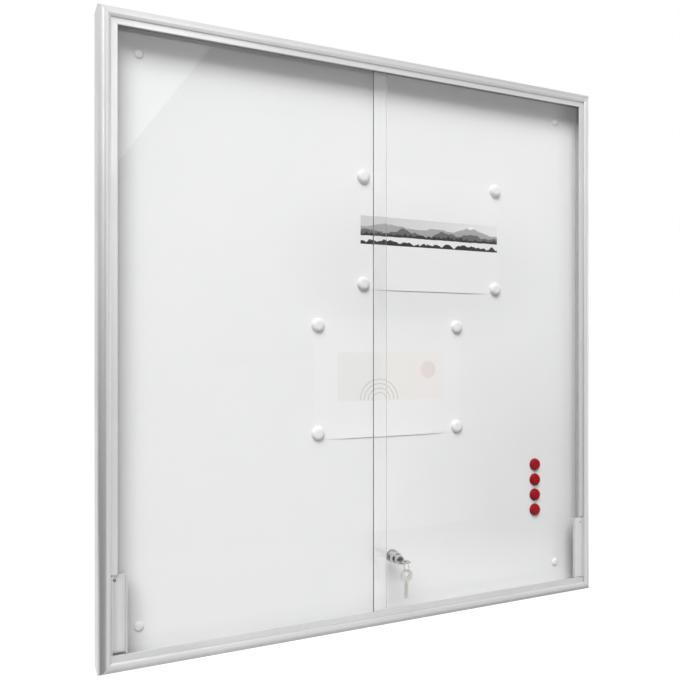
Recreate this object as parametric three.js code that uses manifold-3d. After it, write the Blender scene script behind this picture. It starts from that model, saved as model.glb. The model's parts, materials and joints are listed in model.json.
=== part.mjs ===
// Lockable notice board for a wall: an aluminium frame with two sliding glass panes in front of
// a white enamelled magnetic back, a push lock with its key, and two notices held by magnets.
// Millimetres, +Z up, +X to the right. The wall is the plane Y = 0 and the front faces -Y.
// The origin is the middle of the back. A depth is counted from the wall towards the viewer,
// and an inset is counted from an outer edge of the frame towards the middle of the board.
import * as THREE from "three";
import * as BufferGeometryUtils from "three/addons/utils/BufferGeometryUtils.js";
import Module from "manifold-3d";

const wasm = await Module();
wasm.setup();

// Overall size
const boardWidth = 950;
const boardHeight = 1000;

// Frame profile, by inset and depth
const sideDepth = 34;
const beadCrestInset = 12;
const beadDepth = 50;
const beadWidth = 18.5;
const beadInnerDepth = 47.8;
const frameFace = 28.5;
const lipDepth = 45.5;
const lipThickness = 2;
const lipRound = 0.9;
const frameWall = 1.8;
const webInset = 8;
const webThickness = 1.6;
const backFlangeWidth = 14;
const backFlangeThickness = 1.6;
const ribThickness = 1.6;
const mitreGap = 0.12;

// Back of the case
const backFit = 0.4;
const boardFrontDepth = 11.2;
const backSheetThickness = 0.8;

// Corner keys inside the frame's hollow
const cornerKeyLeg = 46;
const cornerKeyFit = 0.4;

// Glass panes and their tracks
const glassThickness = 4;
const glassChamfer = 0.4;
const frontPaneDepth = 41.7;
const rearPaneDepth = 34.3;
const paneOverlap = 29;
const paneEdgeInset = 12.5;
const slotSideGap = 0.3;
const trackWall = 1.2;
const trackBase = 1.4;
const trackEndGap = 0.5;
const topTrackReach = 16.4;
const bottomTrackReach = 9.9;
const runnerHeight = 1.5;
const runnerSideGap = 0.2;
const paneOnRunnerGap = 0.2;
const paneLift = 8;
const paneUnderTrackGap = 0.1;

// Side buffers
const bufferThickness = 2.3;
const bufferBackGap = 0.5;
const bufferTrackGap = 2;

// Pulls on the panes
const pullHeight = 118;
const pullWidth = 23.4;
const pullWall = 1.6;
const pullFrontDepth = 48;
const pullSideGap = 0.4;
const pullAboveLip = 0.8;
const pullTapeThickness = 0.8;
const pullTapeMargin = 2;
const pullRound = 0.5;
const pullHoleRadius = 2.6;
const pullHoleInset = 5.8;
const pullHoleBelowTop = 9;
const notchAbovePull = 2.2;

// Fixing points in the corners
const fixingSideInset = 64;
const fixingEndInset = 55;
const bushRadius = 4.2;
const bushHoleFit = 0.3;
const bushBore = 2.8;
const bushFlangeRadius = 6;
const bushFlangeThickness = 1;
const bushBackInset = 0.4;
const capRadius = 7.5;
const capHeight = 4;
const capWall = 1.2;
const capFit = 0.3;

// Notices and magnets
const noticeWidth = 297;
const noticeHeight = 210;
const noticeThickness = 0.3;
const magnetRadius = 12;
const magnetHeight = 8;
const magnetRimHeight = 4.4;
const magnetFootRound = 0.6;
const upperNoticeInset = 354.5;
const upperNoticeBelowTop = 303;
const lowerNoticeInset = 442.5;
const lowerNoticeBelowTop = 566;
const upperMagnetSide = 6;
const upperMagnetEnd = 10;
const lowerMagnetSide = 6.75;
const lowerMagnetEnd = 11.5;
const rowMagnetInset = 115.5;
const rowMagnetAboveBottom = 166;
const rowMagnetPitch = 30;
const rowMagnetCount = 4;

// Lock, by radius and depth
const lockBeyondRearPane = 8.5;
const lockAboveBottom = 120;
const sleeveFlangeRadius = 11.5;
const sleeveFlangeThickness = 2.8;
const sleeveRadius = 9.8;
const sleeveFrontDepth = 58;
const sleeveRound = 0.8;
const sleeveTailRadius = 9;
const sleeveTailDepth = 35.3;
const sleeveTailWall = 2.7;
const glassHoleFit = 0.3;
const gasketThickness = 0.6;
const washerThickness = 0.5;
const nutThickness = 1.5;
const nutRadius = 11;
const nutFit = 0.1;
const barrelFit = 0.12;
const barrelRadius = 7.6;
const barrelFrontDepth = 69;
const barrelShoulderDepth = 50.5;
const barrelRound = 0.7;
const boltRadius = 4.5;
const boltFit = 0.3;
const boltTipDepth = 43.2;
const plugRadius = 5;
const plugFit = 0.12;
const plugLength = 16;
const plugRecess = 0.4;
const springWire = 0.8;
const springRadius = 6.3;
const springTurns = 4;
const springEndGap = 0.35;

// Keys and ring
const keyThickness = 2;
const bowWidth = 22;
const bowLength = 19;
const bowRim = 2.6;
const bowHoleWidth = 9;
const bowHoleLength = 10.4;
const neckWidth = 9;
const neckLength = 3.5;
const bladeWidth = 7;
const bladeLength = 27;
const insertedBladeLength = 14;
const bladeTip = 3;
const keywayFit = 0.2;
const keyNeckGap = 0.4;
const ringRadius = 8.25;
const ringWire = 0.75;
const ringDrop = 5.9;
const spareKeyGap = 0.3;

// Shares and counts
const capDomeShare = 0.6;
const magnetRimShare = 0.8;
const bladeCutShares = [0.12, 0.3, 0.46, 0.62, 0.78];
const bladeCutDepthShares = [0.2, 0.38, 0.24, 0.42, 0.3];
const bladeCutHalfShare = 0.055;
const roundSegments = 24;
const arcSegments = 6;
const wireSides = 6;
const ringSegments = 32;
const springStepsPerTurn = 14;
const overrun = 5;

// Sizes that follow from those above
const webInner = webInset + webThickness;
const lipBackDepth = lipDepth - lipThickness;
const sheetFrontDepth = boardFrontDepth + backSheetThickness;
const ribBackDepth = sheetFrontDepth + backFit;
const chamberBackDepth = ribBackDepth + ribThickness;
const openingHalfWidth = boardWidth / 2 - frameFace;
const openingHalfHeight = boardHeight / 2 - frameFace;
const frontPaneBack = frontPaneDepth - glassThickness;
const rearPaneBack = rearPaneDepth - glassThickness;
const trackFrontDepth = frontPaneDepth + slotSideGap + trackWall;
const trackBackDepth = rearPaneBack - slotSideGap - trackWall;
const slotFloorInset = webInner + trackBase;
const paneBottomInset = slotFloorInset + runnerHeight + paneOnRunnerGap;
const paneTopInset = slotFloorInset + paneLift + paneUnderTrackGap;
const paneHeight = boardHeight - paneBottomInset - paneTopInset;
const paneUp = (paneBottomInset - paneTopInset) / 2;
const paneWidth = boardWidth / 2 - paneEdgeInset + paneOverlap / 2;
const paneAcross = boardWidth / 2 - paneEdgeInset - paneWidth / 2;
const lockAcross = paneWidth / 2 - paneAcross + lockBeyondRearPane;
const lockUp = lockAboveBottom - boardHeight / 2;
const pullOuter = boardWidth / 2 - beadWidth - pullSideGap;
const pullBottom = -openingHalfHeight + pullAboveLip;
const notchTop = pullBottom + pullHeight + notchAbovePull;
const noticeFrontDepth = sheetFrontDepth + noticeThickness;
const sleeveBackDepth = frontPaneDepth + gasketThickness;
const barrelBore = barrelRadius + barrelFit;
const boreFloorDepth = sleeveTailDepth + sleeveTailWall;
const keyPivotDepth = barrelFrontDepth - plugRecess + keyNeckGap + neckLength + bowLength - bowRim / 2;
const ringUp = lockUp - ringDrop;
const ringBottomUp = ringUp - ringRadius;
const spareKeyPivotUp = ringBottomUp + ringWire + spareKeyGap + bowRim / 2;

const board = new THREE.Group();

// Materials
function finish(color, roughness, metalness) {
  return new THREE.MeshStandardMaterial({ color, roughness, metalness });
}

const anodisedAluminium = () => finish(0xc9cbcc, 0.38, 0.9);
const castAluminium = () => finish(0xa9abac, 0.6, 0.8);
const enamelWhite = () => finish(0xf2f3f3, 0.25, 0.0);
const boardCore = () => finish(0xb9b4aa, 0.85, 0.0);
const clearGlass = () => {
  const glass = finish(0xeef6f3, 0.04, 0.0);
  glass.transparent = true;
  glass.opacity = 0.25;
  return glass;
};
const greyPlastic = () => finish(0x8d9091, 0.6, 0.0);
const whitePlastic = () => finish(0xf4f4f2, 0.35, 0.0);
const redPlastic = () => finish(0xb3061f, 0.35, 0.0);
const blackRubber = () => finish(0x222324, 0.85, 0.0);
const noticePaper = () => finish(0xf6f6f3, 0.8, 0.0);
const chromedBrass = () => finish(0xd5d7d8, 0.15, 1.0);
const nickelSteel = () => finish(0xb8babb, 0.3, 1.0);
const springSteel = () => finish(0x8e9092, 0.35, 1.0);

// Booleans
function toSolid(geometry) {
  const bare = geometry.clone();
  bare.deleteAttribute("normal");
  bare.deleteAttribute("uv");
  const merged = BufferGeometryUtils.mergeVertices(bare);
  const vertProperties = new Float32Array(merged.attributes.position.array);
  const triVerts = new Uint32Array(merged.index.array);
  return new wasm.Manifold(new wasm.Mesh({ numProp: 3, vertProperties, triVerts }));
}

function toGeometry(solid) {
  const mesh = solid.getMesh();
  const geometry = new THREE.BufferGeometry();
  geometry.setAttribute("position", new THREE.BufferAttribute(mesh.vertProperties, 3));
  geometry.setIndex(new THREE.BufferAttribute(mesh.triVerts, 1));
  geometry.computeVertexNormals();
  return geometry;
}

function cutFrom(geometry, ...cutters) {
  return toGeometry(cutters.reduce((solid, cutter) => solid.subtract(toSolid(cutter)), toSolid(geometry)));
}

function joinAll(first, ...others) {
  return toGeometry(others.reduce((solid, other) => solid.add(toSolid(other)), toSolid(first)));
}

// Placing
function addPiece(name, geometry, material, parent = board) {
  const piece = new THREE.Mesh(geometry, material);
  piece.name = name;
  parent.add(piece);
  return piece;
}

function groupAt(x, depth, z) {
  const group = new THREE.Group();
  group.position.set(x, -depth, z);
  board.add(group);
  return group;
}

function outline(points) {
  return new THREE.Shape(points.map(([u, v]) => new THREE.Vector2(u, v)));
}

// A block between two corners, each given as X, depth and Z
function block([x0, depth0, z0], [x1, depth1, z1]) {
  const box = new THREE.BoxGeometry(x1 - x0, depth1 - depth0, z1 - z0);
  return box.translate((x0 + x1) / 2, -(depth0 + depth1) / 2, (z0 + z1) / 2);
}

// A turned piece whose axis points to the viewer, from points of radius and depth
function turned(profile) {
  const points = profile.map(([radius, depth]) => new THREE.Vector2(radius, depth));
  return new THREE.LatheGeometry(points, roundSegments).rotateX(Math.PI);
}

// A flat outline of X and depth, made thick across Z and centred on it
function flatLying(shape, thickness, curveSegments = arcSegments) {
  const plate = new THREE.ExtrudeGeometry(shape, { depth: thickness, bevelEnabled: false, curveSegments });
  return plate.translate(0, 0, -thickness / 2).rotateX(Math.PI);
}

// A flat outline of X and Z, made thick between two depths
function flatFacing(shape, backDepth, frontDepth, curveSegments = arcSegments) {
  const depth = frontDepth - backDepth;
  const plate = new THREE.ExtrudeGeometry(shape, { depth, bevelEnabled: false, curveSegments });
  return plate.rotateX(Math.PI / 2).translate(0, -backDepth, 0);
}

// Frame: one hollow section, cut to a mitre at both ends of each side
function frameSection() {
  const section = new THREE.Shape();
  const beadRise = beadDepth - sideDepth;
  section.moveTo(0, 0);
  section.lineTo(backFlangeWidth, 0);
  section.lineTo(backFlangeWidth, backFlangeThickness);
  section.lineTo(frameWall, backFlangeThickness);
  section.lineTo(frameWall, ribBackDepth);
  section.lineTo(webInner, ribBackDepth);
  section.lineTo(webInner, lipBackDepth);
  section.lineTo(frameFace, lipBackDepth);
  section.lineTo(frameFace, lipDepth - lipRound);
  section.absarc(frameFace - lipRound, lipDepth - lipRound, lipRound, 0, Math.PI / 2, false);
  section.lineTo(beadWidth, lipDepth);
  section.lineTo(beadWidth, beadInnerDepth);
  section.quadraticCurveTo((beadCrestInset + beadWidth) / 2, beadDepth, beadCrestInset, beadDepth);
  section.absellipse(beadCrestInset, sideDepth, beadCrestInset, beadRise, Math.PI / 2, Math.PI, false);
  section.lineTo(0, 0);

  const chamber = new THREE.Path();
  const innerCrest = beadCrestInset - frameWall;
  const innerRise = beadRise - frameWall;
  chamber.moveTo(frameWall, chamberBackDepth);
  chamber.lineTo(webInset, chamberBackDepth);
  chamber.lineTo(webInset, lipDepth);
  chamber.lineTo(beadWidth - frameWall, lipDepth);
  chamber.lineTo(beadWidth - frameWall, beadInnerDepth - frameWall / 2);
  chamber.lineTo(beadCrestInset, beadDepth - frameWall);
  chamber.absellipse(beadCrestInset, sideDepth, innerCrest, innerRise, Math.PI / 2, Math.PI, false);
  chamber.lineTo(frameWall, chamberBackDepth);
  section.holes.push(chamber);
  return section;
}

// The bar runs along X below the middle of the board, and is then turned to its side
function mitredBar(length, halfAcross, turn) {
  const bar = new THREE.ExtrudeGeometry(frameSection(), {
    depth: length,
    bevelEnabled: false,
    curveSegments: arcSegments,
  });
  const corners = bar.attributes.position;
  for (let i = 0; i < corners.count; i += 1) {
    const inset = corners.getX(i);
    const depth = corners.getY(i);
    const end = corners.getZ(i) > length / 2 ? 1 : -1;
    corners.setXYZ(i, end * (length / 2 - inset - mitreGap), -depth, inset - halfAcross);
  }
  return bar.rotateY(turn);
}

function pullNotch(side) {
  const inner = side * (boardWidth / 2 - frameFace - overrun);
  const outer = side * (boardWidth / 2 - beadWidth);
  return block(
    [Math.min(inner, outer), lipBackDepth - lipRound, -openingHalfHeight],
    [Math.max(inner, outer), beadDepth + overrun, notchTop],
  );
}

function addFrame() {
  const level = (turn) => mitredBar(boardWidth, boardHeight / 2, turn);
  const upright = (turn) => mitredBar(boardHeight, boardWidth / 2, turn);
  addPiece("frame_bottom", level(0), anodisedAluminium());
  addPiece("frame_top", level(Math.PI), anodisedAluminium());
  addPiece("frame_left", cutFrom(upright(Math.PI / 2), pullNotch(-1)), anodisedAluminium());
  addPiece("frame_right", cutFrom(upright(-Math.PI / 2), pullNotch(1)), anodisedAluminium());
}

// One bent key in each corner, inside the hollow of the two bars that meet there
function cornerKey(side, rise) {
  const outer = frameWall + cornerKeyFit;
  const inner = webInset - cornerKeyFit;
  const at = (insetX, insetZ) => [
    side * (boardWidth / 2 - insetX),
    rise * (boardHeight / 2 - insetZ),
  ];
  const shape = outline([
    at(outer, outer),
    at(cornerKeyLeg, outer),
    at(cornerKeyLeg, inner),
    at(inner, inner),
    at(inner, cornerKeyLeg),
    at(outer, cornerKeyLeg),
  ]);
  return flatFacing(shape, chamberBackDepth + cornerKeyFit, sideDepth);
}

function addCornerKeys() {
  for (const [rise, level] of [[1, "top"], [-1, "bottom"]]) {
    for (const [side, hand] of [[-1, "left"], [1, "right"]]) {
      addPiece(`corner_key_${level}_${hand}`, cornerKey(side, rise), castAluminium());
    }
  }
}

// Back: a board with a rebate round its rear edge, and the enamelled sheet on its front
function backPlate(inset, backDepth, frontDepth) {
  const halfWidth = boardWidth / 2 - inset;
  const halfHeight = boardHeight / 2 - inset;
  return block([-halfWidth, backDepth, -halfHeight], [halfWidth, frontDepth, halfHeight]);
}

function fixingHoles() {
  const radius = bushRadius + bushHoleFit;
  const hole = turned([[0, -overrun], [radius, -overrun], [radius, beadDepth], [0, beadDepth]]);
  return fixingPlaces().map(({ x, z }) => hole.clone().translate(x, 0, z));
}

function fixingPlaces() {
  const across = boardWidth / 2 - fixingSideInset;
  const up = boardHeight / 2 - fixingEndInset;
  const places = [];
  for (const [rise, level] of [[1, "top"], [-1, "bottom"]]) {
    for (const [side, hand] of [[-1, "left"], [1, "right"]]) {
      places.push({ x: side * across, z: rise * up, label: `${level}_${hand}` });
    }
  }
  return places;
}

function addBack() {
  const rebateInset = backFlangeWidth + backFit;
  const rebateDepth = backFlangeThickness + backFit;
  const edgeInset = frameWall + backFit;
  const core = joinAll(
    backPlate(edgeInset, rebateDepth, boardFrontDepth),
    backPlate(rebateInset, 0, boardFrontDepth),
  );
  const sheet = backPlate(edgeInset, boardFrontDepth, sheetFrontDepth);
  addPiece("back_board", cutFrom(core, ...fixingHoles()), boardCore());
  addPiece("back_sheet", cutFrom(sheet, ...fixingHoles()), enamelWhite());
}

// A bush lines each fixing hole, and a cap is pressed over the flange of the bush
function fixingBush() {
  const flangeFront = sheetFrontDepth + bushFlangeThickness;
  return turned([
    [bushBore, bushBackInset],
    [bushRadius, bushBackInset],
    [bushRadius, sheetFrontDepth],
    [bushFlangeRadius, sheetFrontDepth],
    [bushFlangeRadius, flangeFront],
    [bushBore, flangeFront],
    [bushBore, bushBackInset],
  ]);
}

function fixingCap() {
  const hollowRadius = bushFlangeRadius + capFit;
  const hollowTop = sheetFrontDepth + bushFlangeThickness + capFit;
  const domeFoot = sheetFrontDepth + capWall;
  const domeTop = sheetFrontDepth + capHeight;
  return turned([
    [0, hollowTop],
    [hollowRadius, hollowTop],
    [hollowRadius, sheetFrontDepth],
    [capRadius, sheetFrontDepth],
    [capRadius, domeFoot],
    ...domeArc(capRadius, domeFoot, domeTop, capDomeShare),
    [0, domeTop],
  ]);
}

// A quarter of an ellipse from the rim of a dome to its flat top
function domeArc(radius, foot, top, roundShare) {
  const flat = radius * (1 - roundShare);
  const steps = arcSegments / 2;
  return Array.from({ length: steps }, (_, i) => {
    const angle = ((i + 1) / steps) * (Math.PI / 2);
    const across = flat + (radius - flat) * Math.cos(angle);
    return [across, foot + (top - foot) * Math.sin(angle)];
  });
}

function addFixings() {
  for (const { x, z, label } of fixingPlaces()) {
    const corner = groupAt(x, 0, z);
    addPiece(`fixing_bush_${label}`, fixingBush(), greyPlastic(), corner);
    addPiece(`fixing_cap_${label}`, fixingCap(), whitePlastic(), corner);
  }
}

// Tracks: an E section, open towards the panes
function trackSection(reach) {
  const tip = webInner + reach;
  const frontSlot = [frontPaneBack - slotSideGap, frontPaneDepth + slotSideGap];
  const rearSlot = [rearPaneBack - slotSideGap, rearPaneDepth + slotSideGap];
  return outline([
    [webInner, trackBackDepth],
    [tip, trackBackDepth],
    [tip, rearSlot[0]],
    [slotFloorInset, rearSlot[0]],
    [slotFloorInset, rearSlot[1]],
    [tip, rearSlot[1]],
    [tip, frontSlot[0]],
    [slotFloorInset, frontSlot[0]],
    [slotFloorInset, frontSlot[1]],
    [tip, frontSlot[1]],
    [tip, trackFrontDepth],
    [webInner, trackFrontDepth],
  ]);
}

function track(reach, turn) {
  const length = boardWidth - 2 * (webInner + trackEndGap);
  const bar = new THREE.ExtrudeGeometry(trackSection(reach), { depth: length, bevelEnabled: false });
  bar.applyMatrix4(new THREE.Matrix4().makeBasis(
    new THREE.Vector3(0, 0, 1),
    new THREE.Vector3(0, -1, 0),
    new THREE.Vector3(1, 0, 0),
  ));
  return bar.translate(-length / 2, 0, -boardHeight / 2).rotateY(turn);
}

function runner(paneBack) {
  const halfLength = boardWidth / 2 - webInner - trackEndGap;
  const floor = slotFloorInset - boardHeight / 2;
  return block(
    [-halfLength, paneBack - slotSideGap + runnerSideGap, floor],
    [halfLength, paneBack + glassThickness + slotSideGap - runnerSideGap, floor + runnerHeight],
  );
}

function addTracks() {
  addPiece("top_track", track(topTrackReach, Math.PI), anodisedAluminium());
  addPiece("bottom_track", track(bottomTrackReach, 0), anodisedAluminium());
  addPiece("runner_front", runner(frontPaneBack), greyPlastic());
  addPiece("runner_rear", runner(rearPaneBack), greyPlastic());
}

function sideBuffer(side) {
  const outer = side * (boardWidth / 2 - webInner);
  const inner = side * (boardWidth / 2 - webInner - bufferThickness);
  const bottom = -boardHeight / 2 + webInner + bottomTrackReach + bufferTrackGap;
  const top = boardHeight / 2 - webInner - topTrackReach - bufferTrackGap;
  return block(
    [Math.min(outer, inner), trackBackDepth, bottom],
    [Math.max(outer, inner), lipBackDepth - bufferBackGap, top],
  );
}

function addBuffers() {
  addPiece("side_buffer_left", sideBuffer(-1), blackRubber());
  addPiece("side_buffer_right", sideBuffer(1), blackRubber());
}

// Panes: flat glass with a small chamfer round every edge
function glassPane(backDepth, hole) {
  const halfWidth = paneWidth / 2 - glassChamfer;
  const halfHeight = paneHeight / 2 - glassChamfer;
  const shape = outline([
    [-halfWidth, -halfHeight],
    [halfWidth, -halfHeight],
    [halfWidth, halfHeight],
    [-halfWidth, halfHeight],
  ]);
  if (hole) {
    const path = new THREE.Path();
    path.absarc(hole.x, hole.z, hole.radius + glassChamfer, 0, 2 * Math.PI, true);
    shape.holes.push(path);
  }
  const pane = new THREE.ExtrudeGeometry(shape, {
    depth: glassThickness - 2 * glassChamfer,
    bevelThickness: glassChamfer,
    bevelSize: glassChamfer,
    bevelSegments: 1,
    curveSegments: roundSegments / 2,
  });
  return pane.rotateX(Math.PI / 2).translate(0, -backDepth - glassChamfer, 0);
}

// A pull is a channel, open to the front, on a pad of tape near the outer edge of its pane
function pullSection(floorDepth) {
  const floorFront = floorDepth + pullWall;
  return outline([
    [0, floorDepth],
    [pullWidth, floorDepth],
    [pullWidth, pullFrontDepth - pullRound],
    [pullWidth - pullRound, pullFrontDepth],
    [pullWidth - pullWall, pullFrontDepth],
    [pullWidth - pullWall, floorFront],
    [pullWall, floorFront],
    [pullWall, pullFrontDepth],
    [pullRound, pullFrontDepth],
    [0, pullFrontDepth - pullRound],
  ]);
}

function pullChannel(side, floorDepth) {
  const section = pullSection(floorDepth);
  const channel = new THREE.ExtrudeGeometry(section, { depth: pullHeight, bevelEnabled: false });
  channel.rotateX(Math.PI);
  channel.translate(side < 0 ? -pullOuter : pullOuter - pullWidth, 0, pullBottom + pullHeight);
  const hole = turned([
    [0, floorDepth - overrun],
    [pullHoleRadius, floorDepth - overrun],
    [pullHoleRadius, pullFrontDepth + overrun],
    [0, pullFrontDepth + overrun],
  ]);
  const holeAcross = side * (pullOuter - pullHoleInset);
  return cutFrom(channel, hole.translate(holeAcross, 0, pullBottom + pullHeight - pullHoleBelowTop));
}

function pullTape(side, paneDepth) {
  const outer = side * (pullOuter - pullTapeMargin);
  const inner = side * (pullOuter - pullWidth + pullTapeMargin);
  const top = pullBottom + pullHeight - 2 * pullHoleBelowTop;
  return block(
    [Math.min(outer, inner), paneDepth, pullBottom + pullTapeMargin],
    [Math.max(outer, inner), paneDepth + pullTapeThickness, top],
  );
}

function addPanes() {
  const holeRadius = sleeveTailRadius + glassHoleFit;
  const lockHole = { x: lockAcross - paneAcross, z: lockUp - paneUp, radius: holeRadius };
  const sides = [
    { hand: "left", side: -1, depth: rearPaneDepth, hole: null },
    { hand: "right", side: 1, depth: frontPaneDepth, hole: lockHole },
  ];
  for (const { hand, side, depth, hole } of sides) {
    const pane = glassPane(depth - glassThickness, hole).translate(side * paneAcross, 0, paneUp);
    addPiece(`pane_${hand}`, pane, clearGlass());
    addPiece(`pull_${hand}`, pullChannel(side, depth + pullTapeThickness), anodisedAluminium());
    addPiece(`pull_tape_${hand}`, pullTape(side, depth), blackRubber());
  }
}

// Lock: the sleeve is clamped through the glass, and the barrel slides in it
function lockSleeve() {
  const flangeFront = sleeveBackDepth + sleeveFlangeThickness;
  const boltHole = boltRadius + boltFit;
  return turned([
    [boltHole, sleeveTailDepth],
    [sleeveTailRadius, sleeveTailDepth],
    [sleeveTailRadius, sleeveBackDepth],
    [sleeveFlangeRadius, sleeveBackDepth],
    [sleeveFlangeRadius, flangeFront - sleeveRound],
    [sleeveFlangeRadius - sleeveRound, flangeFront],
    [sleeveRadius, flangeFront],
    [sleeveRadius, sleeveFrontDepth - sleeveRound],
    [sleeveRadius - sleeveRound, sleeveFrontDepth],
    [barrelBore, sleeveFrontDepth],
    [barrelBore, boreFloorDepth],
    [boltHole, boreFloorDepth],
    [boltHole, sleeveTailDepth],
  ]);
}

function flatRing(innerRadius, outerRadius, backDepth, frontDepth) {
  return turned([
    [innerRadius, backDepth],
    [outerRadius, backDepth],
    [outerRadius, frontDepth],
    [innerRadius, frontDepth],
    [innerRadius, backDepth],
  ]);
}

// The barrel has a blind bore for the plug, and carries the locking bolt at its back
function lockBarrel() {
  const bore = plugRadius + plugFit;
  const boreFloor = barrelFrontDepth - plugRecess - plugLength - plugFit;
  return turned([
    [0, boltTipDepth],
    [boltRadius - barrelRound, boltTipDepth],
    [boltRadius, boltTipDepth + barrelRound],
    [boltRadius, barrelShoulderDepth],
    [barrelRadius, barrelShoulderDepth],
    [barrelRadius, barrelFrontDepth - barrelRound],
    [barrelRadius - barrelRound, barrelFrontDepth],
    [bore, barrelFrontDepth],
    [bore, boreFloor],
    [0, boreFloor],
  ]);
}

function lockPlug() {
  const front = barrelFrontDepth - plugRecess;
  const back = front - plugLength;
  const core = turned([[0, back], [plugRadius, back], [plugRadius, front], [0, front]]);
  const halfWidth = bladeWidth / 2 + keywayFit;
  const halfHeight = keyThickness / 2 + keywayFit;
  const keywayBack = front - insertedBladeLength - keywayFit;
  const keyway = block([-halfWidth, keywayBack, -halfHeight], [halfWidth, front + overrun, halfHeight]);
  return cutFrom(core, keyway);
}

// The spring stands on the floor of the sleeve and presses on the barrel's shoulder
class SpringCurve extends THREE.Curve {
  getPoint(t, target = new THREE.Vector3()) {
    const low = boreFloorDepth + springEndGap + springWire / 2;
    const high = barrelShoulderDepth - springEndGap - springWire / 2;
    const angle = t * springTurns * 2 * Math.PI;
    const depth = low + (high - low) * t;
    return target.set(springRadius * Math.cos(angle), -depth, springRadius * Math.sin(angle));
  }
}

function roundWire(radius) {
  const section = new THREE.Shape();
  section.absarc(0, 0, radius, 0, 2 * Math.PI, false);
  return section;
}

function lockSpring() {
  return new THREE.ExtrudeGeometry(roundWire(springWire / 2), {
    steps: springTurns * springStepsPerTurn,
    curveSegments: wireSides / 2,
    extrudePath: new SpringCurve(),
  });
}

// A key outline has its origin in the middle of the rim that the ring passes round,
// and its blade runs towards -V
function keyOutline(length) {
  const bowBase = bowRim / 2 - bowLength;
  const bladeTop = bowBase - neckLength;
  const tip = bladeTop - length;
  const half = bladeWidth / 2;
  const shape = new THREE.Shape();
  shape.moveTo(-neckWidth / 2, bowBase);
  shape.lineTo(-neckWidth / 2, bladeTop);
  shape.lineTo(-half, bladeTop);
  shape.lineTo(-half, tip + bladeTip);
  shape.lineTo(-half + bladeTip, tip);
  shape.lineTo(half - bladeTip, tip);
  shape.lineTo(half, tip + bladeTip);
  for (let i = bladeCutShares.length - 1; i >= 0; i -= 1) {
    const middle = bladeTop - bladeCutShares[i] * (length - bladeTip);
    const run = bladeCutHalfShare * length;
    shape.lineTo(half, middle - run);
    shape.lineTo(half - bladeCutDepthShares[i] * half, middle);
    shape.lineTo(half, middle + run);
  }
  shape.lineTo(half, bladeTop);
  shape.lineTo(neckWidth / 2, bladeTop);
  shape.lineTo(neckWidth / 2, bowBase);
  shape.quadraticCurveTo(bowWidth / 2, bowBase, bowWidth / 2, bowBase + bowLength / 2);
  shape.quadraticCurveTo(bowWidth / 2, bowRim / 2, 0, bowRim / 2);
  shape.quadraticCurveTo(-bowWidth / 2, bowRim / 2, -bowWidth / 2, bowBase + bowLength / 2);
  shape.quadraticCurveTo(-bowWidth / 2, bowBase, -neckWidth / 2, bowBase);

  const hole = new THREE.Path();
  const holeMiddle = -bowRim / 2 - bowHoleLength / 2;
  hole.absellipse(0, holeMiddle, bowHoleWidth / 2, bowHoleLength / 2, 0, 2 * Math.PI, true);
  shape.holes.push(hole);
  return shape;
}

function keyRing() {
  return new THREE.TorusGeometry(ringRadius, ringWire, wireSides, ringSegments).rotateY(Math.PI / 2);
}

function addLock() {
  const lock = groupAt(lockAcross, 0, lockUp);
  const tailHole = sleeveTailRadius + nutFit;
  const washerBack = frontPaneBack - washerThickness;
  const gasket = flatRing(tailHole, sleeveFlangeRadius, frontPaneDepth, sleeveBackDepth);
  const washer = flatRing(tailHole, nutRadius, washerBack, frontPaneBack);
  const nut = flatRing(tailHole, nutRadius, washerBack - nutThickness, washerBack);
  addPiece("lock_sleeve", lockSleeve(), chromedBrass(), lock);
  addPiece("lock_gasket", gasket, blackRubber(), lock);
  addPiece("lock_washer", washer, blackRubber(), lock);
  addPiece("lock_nut", nut, nickelSteel(), lock);
  addPiece("lock_spring", lockSpring(), springSteel(), lock);
  addPiece("lock_barrel", lockBarrel(), chromedBrass(), lock);
  addPiece("lock_plug", lockPlug(), nickelSteel(), lock);
}

function addKeys() {
  const lockKey = flatLying(keyOutline(insertedBladeLength), keyThickness);
  const spareKey = flatFacing(keyOutline(bladeLength), -keyThickness / 2, keyThickness / 2);
  addPiece("key_in_lock", lockKey, nickelSteel(), groupAt(lockAcross, keyPivotDepth, lockUp));
  addPiece("key_ring", keyRing(), nickelSteel(), groupAt(lockAcross, keyPivotDepth, ringUp));
  addPiece("spare_key", spareKey, nickelSteel(), groupAt(lockAcross, keyPivotDepth, spareKeyPivotUp));
}

// Notices and the magnets that hold them
function magnet(footDepth) {
  const rim = footDepth + magnetRimHeight;
  return turned([
    [0, footDepth],
    [magnetRadius - magnetFootRound, footDepth],
    [magnetRadius, footDepth + magnetFootRound],
    [magnetRadius, rim],
    ...domeArc(magnetRadius, rim, footDepth + magnetHeight, magnetRimShare),
    [0, footDepth + magnetHeight],
  ]);
}

function noticeSheet() {
  return block(
    [-noticeWidth / 2, sheetFrontDepth, -noticeHeight / 2],
    [noticeWidth / 2, noticeFrontDepth, noticeHeight / 2],
  );
}

// A sheet placed from the board's right and top edges, with a magnet near each of its corners
function addNotice(label, inset, belowTop, magnetSide, magnetEnd) {
  const across = boardWidth / 2 - inset;
  const up = boardHeight / 2 - belowTop;
  addPiece(`notice_${label}`, noticeSheet(), noticePaper(), groupAt(across, 0, up));
  for (const [rise, level] of [[1, "top"], [-1, "bottom"]]) {
    for (const [side, hand] of [[-1, "left"], [1, "right"]]) {
      const x = across + side * (noticeWidth / 2 - magnetSide);
      const z = up + rise * (noticeHeight / 2 - magnetEnd);
      const cap = magnet(noticeFrontDepth);
      addPiece(`magnet_${label}_${level}_${hand}`, cap, whitePlastic(), groupAt(x, 0, z));
    }
  }
}

function addNotices() {
  addNotice("upper", upperNoticeInset, upperNoticeBelowTop, upperMagnetSide, upperMagnetEnd);
  addNotice("lower", lowerNoticeInset, lowerNoticeBelowTop, lowerMagnetSide, lowerMagnetEnd);
}

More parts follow.
